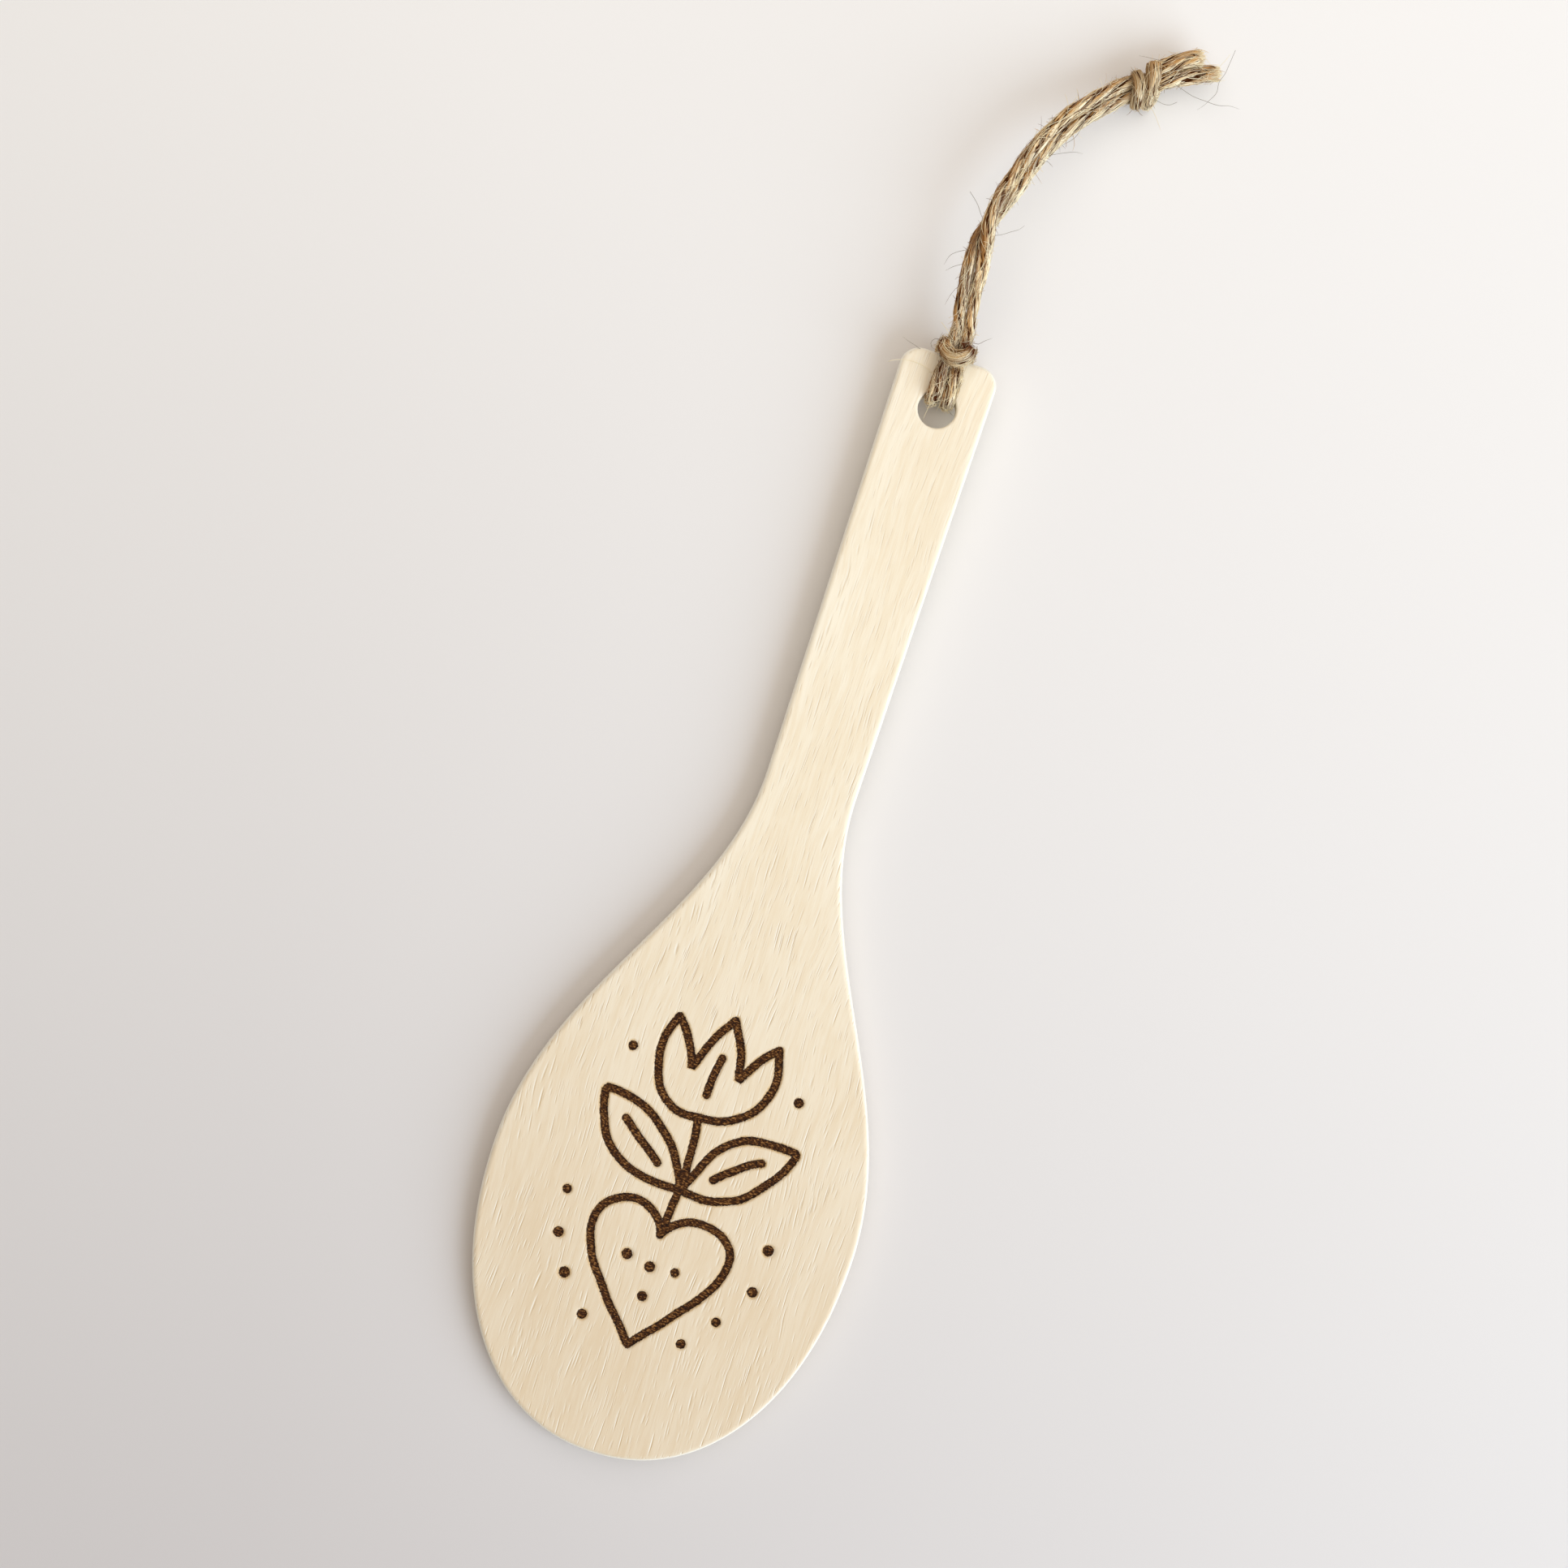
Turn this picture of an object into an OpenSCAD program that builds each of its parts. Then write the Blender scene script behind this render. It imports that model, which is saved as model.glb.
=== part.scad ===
// A flat wooden spoon ornament that hangs from a loop of jute twine. Millimetres, +Z up.
// It lies face up on a table: the table is the plane z = 0, and the handle points along +Y.
// The twine under the handle lifts that end, so the wood leans by a fraction of a degree.

/* [Spoon outline] */
// Length of the wood from the handle's end to the bowl's end
spoon_len = 150; // [120:1:180]
// Greatest width of the bowl
bowl_w = 49.3; // [40:0.1:60]
// Length of the bowl's round end, from its widest place to its tip
bowl_end_len = 34.5; // [28:0.5:42]
// How full the bowl's round end is: 2 is an ellipse, more is squarer
bowl_fullness = 2.15; // [1.9:0.05:2.6]
// Length of the curve from the bowl's widest place to the neck
flare_len = 57; // [48:1:66]
// How far the bowl runs straight up before the curve turns inwards
shoulder_pull = 22; // [14:1:28]
// How far the neck runs straight down before the curve turns outwards
neck_pull = 20; // [14:1:28]
// Width of the neck, the narrowest place
neck_w = 12.2; // [10:0.1:16]
// Width of the handle's end
handle_w = 13; // [11:0.1:17]
// Radius of the handle's two corners
corner_r = 2.6; // [1:0.1:3.2]

/* [Wood] */
// Thickness of the wood
thickness = 3; // [2:0.1:5]
// Radius of the sanded edges
edge_ease = 0.7; // [0.2:0.1:0.9]

/* [Hole] */
// Diameter of the hole for the twine
hole_d = 5; // [4.7:0.1:6]
// Distance from the handle's end to the middle of the hole
hole_drop = 7; // [6:0.1:10]
// Width of the sanded rim of the hole
rim_ease = 0.3; // [0.1:0.1:0.5]

/* [Twine] */
// Diameter of the twine
twine_d = 2; // [1.6:0.1:2.1]
// Gap between the twine and the wood, and between neighbouring turns
twine_gap = 0.1; // [0.05:0.05:0.2]
// How far beyond the handle's end the two strands leave the hitch and can bend
mouth_reach = 4.6; // [4:0.1:6]
// How far the strands stand above the wood's face there
mouth_rise = 2.5; // [2:0.1:4]

/* [Hidden] */

// Colours of the wood and of the twine
wood_colour = [0.94, 0.87, 0.75];
twine_colour = [0.70, 0.58, 0.42];

// Steps along each curve of the outline, and along a rounded edge
end_steps = 18;
flare_steps = 18;
corner_steps = 6;
ease_steps = 3;
// Sides of the twine's tube, and steps between two points of its route
tube_sides = 8;
route_steps = 2;
// Overrun of a cut, and the facets of a round cut
overrun = 1;
round_fn = 64;

// Places along the handle, measured from its end
widest_y = bowl_end_len - spoon_len;
neck_y = widest_y + flare_len;

// The twine's radius, the radius where the knot or the hitch pinches it, and its distance from the wood
twine_r = twine_d / 2;
pinch_share = 0.75;
pinch_r = pinch_share * twine_r;
lay = twine_gap + twine_r;
pair_x = twine_r + twine_gap / 2;

// Where the two legs stand in the hole, and the middle of their bend round its edge
leg_room = hole_d / 2 - lay;
leg_y = -hole_drop + sqrt(max(0, leg_room * leg_room - pair_x * pair_x));
bend_y = leg_y + lay;
half = sqrt(1 / 2);

// The lobes that pass over the handle's end, and the bar that joins them across the front
lobe_x = pinch_r * 3 + twine_gap * 1.5;
lobe_y = pinch_r + twine_gap * 1.5;
bar_z = thickness + twine_gap + pinch_r * 3 + twine_gap * 2;

// One half of the hitch from its mouth to the middle of the bar: x, y, z and the radius there
mouth_end_y = mouth_reach - lay - twine_gap / 2;
mouth_end_z = thickness + mouth_rise - lay * 0.3;
hitch_half = [
    [pair_x, mouth_end_y, mouth_end_z, twine_r],
    [twine_r * 0.95, mouth_end_y * 0.68, mouth_end_z * 0.94, twine_r * 0.88],
    [twine_r * 0.8, mouth_end_y * 0.4, thickness + twine_r * 1.5, twine_r * 0.77],
    [twine_r * 0.8, mouth_end_y * 0.06, thickness + twine_r * 1.1, pinch_r],
    [twine_r * 0.88, -twine_r, thickness + twine_gap + twine_r * 0.82, twine_r * 0.8],
    [pair_x, -twine_r * 2.6, thickness + lay, twine_r],
    [pair_x, bend_y, thickness + lay, twine_r * 0.96],
    [pair_x, bend_y - lay * half, thickness + lay * half, twine_r * 0.86],
    [pair_x, leg_y, thickness, twine_r * 0.92],
    [pair_x, leg_y, 0, twine_r * 0.92],
    [pair_x, bend_y - lay * half, -lay * half, twine_r * 0.86],
    [pair_x, bend_y, -lay * 0.94, twine_r * 0.96],
    [twine_r * 1.5, -twine_r * 3.2, -lay, twine_r],
    [lobe_x * 0.88, -twine_r * 0.6, -lay * 0.92, twine_r * 0.86],
    [lobe_x, lobe_y * 0.6, -lay * 0.5, pinch_r],
    [lobe_x, lobe_y, thickness * 0.3, pinch_r],
    [lobe_x, lobe_y, thickness * 0.8, pinch_r],
    [lobe_x, lobe_y * 0.65, thickness + twine_r * 0.95, pinch_r],
    [lobe_x * 0.9, twine_r * 0.1, thickness + twine_r * 2, pinch_r],
    [lobe_x * 0.55, -twine_r * 0.6, bar_z - twine_gap, pinch_r],
    [lobe_x * 0.2, -twine_r * 0.9, bar_z, pinch_r]];

// The back legs lift the handle: the lean that this gives, and the place where the wood then starts
rest_y = edge_ease - spoon_len;
lean = atan((lay + twine_r) / (bend_y - rest_y));
middle_y = (mouth_end_y + twine_r * 0.16 - spoon_len) / 2;

// A place on the spoon, measured from the handle's end and the wood's back, as it lies on the table
function laid(p) = [
    p[0],
    (p[1] - rest_y) * cos(lean) - p[2] * sin(lean) + rest_y - middle_y,
    (p[1] - rest_y) * sin(lean) + p[2] * cos(lean)];
mouth = laid([0, mouth_reach, thickness + mouth_rise]);
end_y = -middle_y;

// The route of the doubled strand, chosen by hand: x, y from the handle's end, z above the table,
// and how far the two strands have turned round each other
loop_route = [
    [-0.3, 8, 8.4, 0],
    [-0.9, 11.4, 9, 15],
    [-1.3, 14.2, 9.4, 50],
    [-1.2, 16.9, 9.5, 90],
    [-0.6, 19.8, 9.4, 130],
    [0.3, 22.7, 9.2, 165],
    [1.4, 26.6, 8.6, 180],
    [3, 30.4, 7.6, 180],
    [5, 34, 6.3, 180],
    [7.3, 37, 4.6, 180]];
// The knot's middle and the way the twine passes through it
knot_place = [12, 41.4];
knot_turn = 36;
knot_r = pinch_r * 4 + twine_gap * 1.5;
knot_at = [knot_place[0], end_y + knot_place[1], knot_r];
knot_along = [cos(knot_turn), sin(knot_turn), 0];
knot_side = [sin(knot_turn), -cos(knot_turn), 0];
// The two cut ends, from the knot outwards: x, y from the handle's end and z above the table
short_route = [[15.2, 45.1, 3.6], [16.9, 46.1, 3.9], [18.3, 46.9, 4.3]];
long_route = [[16.4, 43.4, 2.8], [18, 44.3, 2.8], [19.6, 45.3, 3], [20.9, 46.1, 3.3]];

// Vector helpers
function unit(v) = v / norm(v);
function xyz(p) = [p[0], p[1], p[2]];
function mirrored(p) = [-p[0], p[1], p[2], p[3]];
function backwards(list) = [for (i = [len(list) - 1 : -1 : 0]) list[i]];

// The direction of a smooth curve at b, which leans towards the nearer of its neighbours a and c
function slope(a, b, c) = let (u = norm(b - a), v = norm(c - b))
    u == 0 ? (c - b) / v : v == 0 ? (b - a) / u : ((b - a) / u * v + (c - b) / v * u) / (u + v);

// A point of a smooth curve through four neighbouring points, t of the way from b to c
function between(a, b, c, d, t) = let (span = norm(c - b))
    b * (1 + 2 * t) * pow(1 - t, 2) + slope(a, b, c) * span * t * pow(1 - t, 2)
    + c * (3 - 2 * t) * t * t - slope(b, c, d) * span * (1 - t) * t * t;

// The same route with steps points to each of its stretches
function smooth(list, steps) = let (last = len(list) - 1) concat(
    [for (i = [0 : last - 1], k = [0 : steps - 1])
        between(list[max(0, i - 1)], list[i], list[i + 1], list[min(last, i + 2)], k / steps)],
    [list[last]]);

// The direction of a route at its point i
function heading(list, i) =
    unit(xyz(list[min(len(list) - 1, i + 1)]) - xyz(list[max(0, i - 1)]));

// Sideways directions along a route, carried on from point to point without a twist
function flatten(v, t) = unit(v - t * (v * t));
function sideways(list, start) = [
    for (i = 0, s = flatten(start, heading(list, 0)); i < len(list);
         i = i + 1, s = i < len(list) ? flatten(s, heading(list, i)) : s) s];

// A closed tube along a route of [x, y, z, radius]
module tube(list, start) {
    side = sideways(list, start);
    rings = [for (i = [0 : len(list) - 1], k = [0 : tube_sides - 1])
        let (t = heading(list, i), a = 360 * (k + 1 / 2) / tube_sides)
        xyz(list[i]) + list[i][3] * (cos(a) * side[i] + sin(a) * cross(t, side[i]))];
    last = tube_sides * (len(list) - 1);
    polyhedron(rings, concat(
        [[for (k = [0 : tube_sides - 1]) k]],
        [for (i = [0 : len(list) - 2], k = [0 : tube_sides - 1])
            let (m = (k + 1) % tube_sides, o = i * tube_sides, n = o + tube_sides)
            each [[o + k, n + k, n + m], [o + k, n + m, o + m]]],
        [[for (k = [tube_sides - 1 : -1 : 0]) last + k]]));
}

// Moves what is drawn on the spoon to where the spoon lies
module on_table() {
    translate([0, rest_y - middle_y, 0])
        rotate([lean, 0, 0])
            translate([0, -rest_y, 0])
                children();
}

// One side of the outline, from the bowl's tip to the handle's end
function bend(a, b, c, d, t) =
    a * pow(1 - t, 3) + b * 3 * t * pow(1 - t, 2) + c * 3 * t * t * (1 - t) + d * pow(t, 3);
outline_half = concat(
    [for (i = [1 : end_steps])
        let (a = 90 * i / end_steps)
        [bowl_w / 2 * pow(sin(a), 2 / bowl_fullness),
         widest_y - bowl_end_len * pow(cos(a), 2 / bowl_fullness)]],
    [for (i = [1 : flare_steps])
        bend([bowl_w / 2, widest_y], [bowl_w / 2, widest_y + shoulder_pull],
             [neck_w / 2, neck_y - neck_pull], [neck_w / 2, neck_y], i / flare_steps)],
    [for (i = [0 : corner_steps])
        let (a = 90 * i / corner_steps)
        [handle_w / 2 - corner_r * (1 - cos(a)), -corner_r * (1 - sin(a))]]);
outline = concat([[0, -spoon_len]], outline_half,
                 [for (p = backwards(outline_half)) [-p[0], p[1]]]);

// The outline drawn in by a distance, each point square to its neighbours
function inset(d) = [for (i = [0 : len(outline) - 1])
    let (n = len(outline), run = unit(outline[(i + 1) % n] - outline[(i + n - 1) % n]))
    outline[i] + d * [-run[1], run[0]]];

// Heights and insets of the rings that round the two edges
ease_rings = concat(
    [for (i = [0 : ease_steps])
        let (a = 90 * i / ease_steps)
        [edge_ease * (1 - sin(a)), edge_ease * (1 - cos(a))]],
    [for (i = [ease_steps : -1 : 0])
        let (a = 90 * i / ease_steps)
        [edge_ease * (1 - sin(a)), thickness - edge_ease * (1 - cos(a))]]);

// The cut-out before it is drilled
module cut_out() {
    n = len(outline);
    points = [for (ring = ease_rings, p = inset(ring[0])) [p[0], p[1], ring[1]]];
    last = n * (len(ease_rings) - 1);
    polyhedron(points, concat(
        [[for (k = [0 : n - 1]) k]],
        [for (i = [0 : len(ease_rings) - 2], k = [0 : n - 1])
            let (m = (k + 1) % n, o = i * n, u = o + n)
            each [[o + k, u + k, u + m], [o + k, u + m, o + m]]],
        [[for (k = [n - 1 : -1 : 0]) last + k]]));
}

// The hole with its sanded rims
module twine_hole() {
    translate([0, -hole_drop, 0]) {
        translate([0, 0, -overrun])
            cylinder(h = thickness + overrun * 2, d = hole_d, $fn = round_fn);
        for (rim = [0, 1])
            translate([0, 0, rim * thickness])
                mirror([0, 0, rim])
                    translate([0, 0, -overrun])
                        cylinder(h = overrun + rim_ease, d1 = hole_d + (rim_ease + overrun) * 2,
                                 d2 = hole_d, $fn = round_fn);
    }
}

module spoon_blank() {
    color(wood_colour)
        on_table()
            difference() {
                cut_out();
                twine_hole();
            }
}

// The lark's head: both strands under the bar, down through the hole, up behind and over the end
module twine_hitch() {
    route = concat(hitch_half, [for (p = backwards(hitch_half)) mirrored(p)]);
    color(twine_colour)
        on_table()
            tube(smooth(route, route_steps), [1, 0, 0]);
}

// The route of one strand: it starts in a round end on the hitch's mouth and ends inside the knot
function strand(side) = let (
    middle = concat(
        [[mouth[0], mouth[1], mouth[2], 0]],
        [for (p = loop_route) [p[0], p[1] + end_y, p[2], p[3]]]),
    sides = [for (i = [0 : len(middle) - 1])
        let (t = heading(middle, i), level = unit(cross(t, [0, 0, 1])), a = middle[i][3])
        level * cos(a) + cross(level, t) * sin(a)],
    open = [for (i = [0 : len(middle) - 1])
        let (p = xyz(middle[i]) + side * pair_x * sides[i])
        [p[0], p[1], p[2], twine_r]],
    end = knot_at - side * (pinch_r + twine_gap / 2) * knot_side,
    lead = end - knot_along * knot_r,
    t = heading(middle, 0),
    dome = [for (a = [15, 40, 65])
        let (p = xyz(open[0]) - t * twine_r * cos(a))
        [p[0], p[1], p[2], twine_r * sin(a)]])
    concat(dome, smooth(concat(open, [[lead[0], lead[1], lead[2], pinch_r * 1.05]]), route_steps),
           [[end[0], end[1], end[2], pinch_r]]);

module loop_strand(side) {
    color(twine_colour)
        tube(strand(side), [1, 0, 0]);
}

// Two turns of twine round the pair of strands
module end_knot() {
    color(twine_colour)
        for (side = [-1, 1])
            translate(knot_at + side * (pinch_r + twine_gap / 2) * knot_along)
                rotate([0, 0, knot_turn])
                    rotate([0, 90, 0])
                        rotate_extrude($fn = round_fn)
                            translate([knot_r - pinch_r, 0])
                                circle(r = pinch_r, $fn = round_fn);
}

// A cut end: it leaves the middle of the knot on one side and runs out along its own route
module tail(side, route) {
    start = knot_at - side * (pinch_r + twine_gap / 2) * knot_side;
    lead = start + knot_along * knot_r;
    color(twine_colour)
        tube(concat(
            [[start[0], start[1], start[2], pinch_r], [lead[0], lead[1], lead[2], pinch_r * 1.05]],
            [for (p = route) [p[0], p[1] + end_y, p[2], twine_r]]), [0, 0, 1]);
}

spoon_blank();
twine_hitch();
loop_strand(-1);  // loop_strand_left
loop_strand(1);  // loop_strand_right
end_knot();
tail(1, short_route);  // tail_short
tail(-1, long_route);  // tail_long
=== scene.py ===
"""A flat wooden spoon ornament with a burnt folk motif and a knotted loop of jute twine.

Shapes are worked out in millimetres. A point on the spoon is x, y from the handle's end and z from the
wood's back; laid() takes it to where the spoon lies on the table, in the row frame.
"""

import math
from collections import namedtuple

import bpy
import numpy as np
from mathutils import Matrix, Vector
from mathutils.geometry import delaunay_2d_cdt
from numpy.linalg import norm


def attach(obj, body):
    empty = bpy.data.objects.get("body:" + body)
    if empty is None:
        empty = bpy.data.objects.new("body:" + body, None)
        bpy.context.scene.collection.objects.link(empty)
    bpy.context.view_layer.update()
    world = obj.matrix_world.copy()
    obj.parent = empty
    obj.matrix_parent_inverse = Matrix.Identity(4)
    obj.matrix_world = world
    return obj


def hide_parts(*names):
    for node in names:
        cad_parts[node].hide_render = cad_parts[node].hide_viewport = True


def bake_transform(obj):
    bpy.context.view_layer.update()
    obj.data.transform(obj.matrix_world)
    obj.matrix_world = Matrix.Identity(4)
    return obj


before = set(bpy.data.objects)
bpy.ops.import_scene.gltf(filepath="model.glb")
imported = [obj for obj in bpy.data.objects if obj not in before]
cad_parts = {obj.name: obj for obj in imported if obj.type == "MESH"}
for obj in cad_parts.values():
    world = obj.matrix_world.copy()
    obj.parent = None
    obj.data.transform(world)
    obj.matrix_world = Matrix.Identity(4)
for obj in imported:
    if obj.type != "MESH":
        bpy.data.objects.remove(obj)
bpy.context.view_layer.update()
MM = 0.001

# The wood's outline, as in the CAD source
SPOON_LEN = 150
BOWL_W = 49.3
BOWL_END_LEN = 34.5
BOWL_FULLNESS = 2.15
FLARE_LEN = 57
SHOULDER_PULL = 22
NECK_PULL = 20
NECK_W = 12.2
HANDLE_W = 13
CORNER_R = 2.6
THICKNESS = 3
EDGE_EASE = 0.7
HOLE_D = 5
HOLE_DROP = 7
RIM_EASE = 0.3

# The twine, as in the CAD source
TWINE_D = 2
TWINE_GAP = 0.1
MOUTH_REACH = 4.6
MOUTH_RISE = 2.5
PINCH_SHARE = 0.75
TWINE_R = TWINE_D / 2
PINCH_R = PINCH_SHARE * TWINE_R
LAY = TWINE_GAP + TWINE_R
PAIR_X = TWINE_R + TWINE_GAP / 2
BEND_Y = -HOLE_DROP + math.sqrt((HOLE_D / 2 - LAY) ** 2 - PAIR_X**2) + LAY
LOBE_Y = PINCH_R + TWINE_GAP * 1.5
MOUTH_END_Y = MOUTH_REACH - LAY - TWINE_GAP / 2
MOUTH_END_Z = THICKNESS + MOUTH_RISE - LAY * 0.3

# The soft twine's radius where two strands press on each other, and at its loose cut ends
STRAND_R = 0.93
TAIL_R = 1.14
# Half the distance between the middles of two strands that press on each other
PRESSED_X = 0.9

# How the wood leans on the twine under its handle, as in the CAD source
REST_Y = EDGE_EASE - SPOON_LEN
LEAN = math.atan((LAY + TWINE_R) / (BEND_Y - REST_Y))
MIDDLE_Y = (MOUTH_END_Y + TWINE_R * 0.16 - SPOON_LEN) / 2
END_Y = -MIDDLE_Y

# The camera's view: straight above the table, turned so that the handle leans to the right
SPOON_TURN = math.radians(18.4)
VIEW_AT = (-3.46, END_Y - 59.4, 4)
VIEW_W = 203.6
VIEW_H = 330

# One half of the hitch from its mouth to the middle of the bar: x, y, z on the spoon and the radius.
# It is the CAD source's route, drawn as tight as soft twine pulls.
HITCH_HALF = [
    [0.76, MOUTH_END_Y, MOUTH_END_Z, 0.8],
    [0.74, 2.3, 4.95, 0.8],
    [0.66, 1.3, 4.6, 0.76],
    [0.58, 0.2, 4.15, 0.66],
    [0.72, -0.9, 3.95, 0.76],
    [0.9, -2.6, THICKNESS + 0.95, 0.98],
    [0.96, -4.1, THICKNESS + 0.9, 0.97],
    [0.98, -5.2, THICKNESS + 0.45, 0.97],
    [0.98, -5.65, THICKNESS - 0.5, 0.92],
    [0.98, -5.65, 0.5, 0.88],
    [1.0, -5.2, -0.5, 0.88],
    [1.05, -4.1, -LAY * 0.9, 0.94],
    [1.25, -3.2, -LAY, 0.98],
    [1.6, -0.7, -LAY * 0.92, 0.86],
    [1.74, LOBE_Y * 0.6, -LAY * 0.5, 0.8],
    [1.76, LOBE_Y, THICKNESS * 0.3, 0.78],
    [1.76, LOBE_Y, THICKNESS * 0.8, 0.78],
    [1.72, 1.15, 3.9, 0.8],
    [1.66, 0.85, 4.95, 0.88],
    [1.25, 0.05, 5.6, 1.0],
    [0.5, -0.45, 5.8, 1.1],
]

# The doubled strand's route: x, y from the handle's end, z above the table, the pair's turn in degrees
# and how much of its width it keeps where it is pressed
LOOP_ROUTE = [
    [-0.3, MOUTH_REACH, 0, 0, 0.84],
    [-0.8, 8, 8.4, 0, 0.88],
    [-1.1, 11.4, 9, 15, 0.95],
    [-1.35, 14.2, 9.4, 50, 1],
    [-1.2, 16.9, 9.5, 90, 1],
    [-0.6, 19.8, 9.4, 118, 1],
    [0.3, 22.7, 9.2, 130, 1],
    [1.4, 26.6, 8.6, 132, 1],
    [3, 30.4, 7.6, 134, 1],
    [5, 34, 6.3, 136, 1],
    [7.3, 37, 4.6, 140, 1],
]
KNOT_TURN = math.radians(36)
KNOT_R = PINCH_R * 4 + TWINE_GAP * 1.5
KNOT_AT = np.array([12, END_Y + 41.4, KNOT_R])
KNOT_ALONG = np.array([math.cos(KNOT_TURN), math.sin(KNOT_TURN), 0])
KNOT_SIDE = np.array([math.sin(KNOT_TURN), -math.cos(KNOT_TURN), 0])
UP = np.array([0.0, 0.0, 1.0])
# The tails from the knot to their cut ends: along, sideways and up from the knot's middle
SHORT_ROUTE = [[4.4, -1.45, 0.5], [6.4, -1.4, 0.8], [8.3, -0.95, 1.1]]
LONG_ROUTE = [[4.3, 0.25, -0.2], [6.2, 0.45, -0.3], [8.2, 0.9, -0.2], [9.9, 1.45, 0.1]]

# The pair through the overhand knot: along, sideways and up from its middle, then the same three
# for the step from the pair's middle to its first strand, and the radius of each strand
KNOT_ROUTE = [
    [-2.9, 0.1, 0.8, 0, -0.72, 0.5, 0.9, 0.9],
    [-1.2, 0, 0.5, 0, -0.7, 0.35, 0.85, 0.85],
    [0.4, 0, 0.2, 0, -0.7, 0.2, 0.8, 0.8],
    [1.2, 0.1, -0.5, 0.3, -0.6, 0.4, 0.8, 0.8],
    [1.5, 0.7, -1.5, 0.4, -0.3, 0.2, 0.8, 0.8],
    [0.3, 1.5, -1.8, 0.4, 0.3, -0.4, 0.85, 0.85],
    [-0.5, 1.9, -0.9, 0.65, 0.1, -0.2, 0.9, 0.8],
    [-0.6, 1.85, 0.6, 0.75, -0.15, 0, 0.92, 0.8],
    [-0.15, 1.1, 1.75, 0.85, -0.15, 0, 0.96, 0.8],
    [0.45, -0.2, 2.1, 1, -0.15, 0, 1.02, 0.8],
    [0.8, -1.2, 1.6, 1.15, -0.2, 0, 0.98, 0.78],
    [1, -1.6, 0.4, 1.2, -0.2, 0, 0.92, 0.78],
    [1.1, -1.45, -1.1, 1, -0.1, 0.3, 0.85, 0.8],
    [1.5, -0.9, -1.7, 0.7, -0.5, 0.3, 0.8, 0.8],
    [2.2, -0.5, -1, 0.2, -0.7, 0.3, 0.9, 0.88],
    [3, -0.6, -0.1, 0, -0.85, 0.25, 0.98, 0.95],
]

# Places where the twine is reddish, and where it is a duller grey-brown that is partly its own colour and
# partly
# painted shade: x, y from the handle's end, z above the table, how far the tint reaches and how strong it is
RUST_SPOTS = [
    (-1.1, -3.2, 6.2, 2.3, 0.6),
    (-0.8, -5.5, 5.2, 1.2, 0.9),
    (1.15, -5.4, 5.2, 1.3, 1.0),
    (0.7, 1.3, 7.4, 1.4, 1.0),
    (2.1, 1.2, 7.4, 2.1, 1.0),
    (-2.1, 1.2, 7.2, 1.7, 0.7),
    (-1.8, -1.1, 7.4, 1.7, 0.7),
    (-2.3, 8.4, 9, 2.5, 0.5),
    (-2, 14.4, 10, 2.7, 0.5),
    (-0.3, 19.6, 10.3, 2.7, 0.55),
    (1.4, 26, 9.4, 2.1, 0.4),
]
DULL_SHADE_SPOTS = [
    (11.6, 41.9, 4.5, 3.4, 1.0),
    (11.9, 39.3, 3.6, 2.6, 0.9),
    (-0.3, -0.5, 8.4, 2, 0.7),
]

# Single long fibres that stand off the twine: their height above the table, their shade from grey to
# pale, and x, y from the handle's end
SEEN_HAIRS = [
    (5, -0.5, [(16, 42.5), (17.1, 42.2), (18.6, 41.8), (20.5, 41.7), (22.2, 41.7), (23.7, 42.1),
               (24.9, 42.1)]),
    (4, -0.4, [(22.1, 49.5), (21.9, 47.2), (21.8, 46.2), (21.4, 44.9), (21.5, 43.4), (20.9, 42.2),
               (20.4, 41.3), (19.8, 40.6)]),
    (7, -0.5, [(6.4, 35.2), (6.3, 33.9), (6.2, 32.7), (5.8, 31.3), (5, 30.3), (4, 29.5)]),
    (8, -0.5, [(3.1, 27.7), (4.2, 28.3), (5.4, 28.9), (6.4, 29.3), (7.4, 29.4)]),
    (9, -0.5, [(0.5, 27.2), (1.5, 27), (2.6, 26.8), (3.6, 26.7)]),
    (9, -0.3, [(-0.8, 15.4), (0.7, 16), (1.7, 16.7), (2.8, 17.5), (3.2, 18.1)]),
    (9, -0.4, [(-4.8, 20), (-3.4, 18.8), (-2.4, 17.5), (-1.6, 16.7)]),
    (9, -0.4, [(-2.3, 11.4), (-2.8, 10.9), (-3.7, 10.3), (-4.6, 9.4)]),
    (9, -0.4, [(-3, 12.7), (-3.7, 12.3), (-4.6, 11.5), (-5, 10.1)]),
    (8, 1, [(-3, 3.2), (-2, 2.5), (-1.1, 1.7), (-0.3, 1.1)]),
    (7, -0.4, [(-1.9, 1), (-2.9, 1.2), (-3.4, 0.7), (-3.4, 0.2), (-2.9, -0.2)]),
    (7, -0.4, [(0.9, 1.7), (1.6, 2.1), (2.4, 2.2), (3, 2.8), (3.9, 3.5)]),
    (5.5, 1, [(-7.9, -3.3), (-7.3, -2.9), (-6.6, -2.6), (-5.2, -2.3), (-3.4, -2.4), (-1.8, -2.9)]),
    (6, -0.4, [(16.9, 40.1), (16, 39.4), (14.7, 39.4), (13.4, 39.8)]),
    (5, -0.4, [(-1.6, -0.5), (-3.1, -0.7), (-5.5, -0.1), (-6.3, 0.1), (-7.1, 0.4)]),
]


def laid(points):
    """Points on the spoon as the spoon lies on the table."""
    x, y, z = np.moveaxis(np.asarray(points, float), -1, 0)
    along = y - REST_Y
    c, s = math.cos(LEAN), math.sin(LEAN)
    return np.stack([x, along * c - z * s + REST_Y - MIDDLE_Y, along * s + z * c], -1)


def unit(v):
    """A vector, or each row of an array, at length 1."""
    v = np.asarray(v, float)
    return v / norm(v, axis=-1, keepdims=True)


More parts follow.
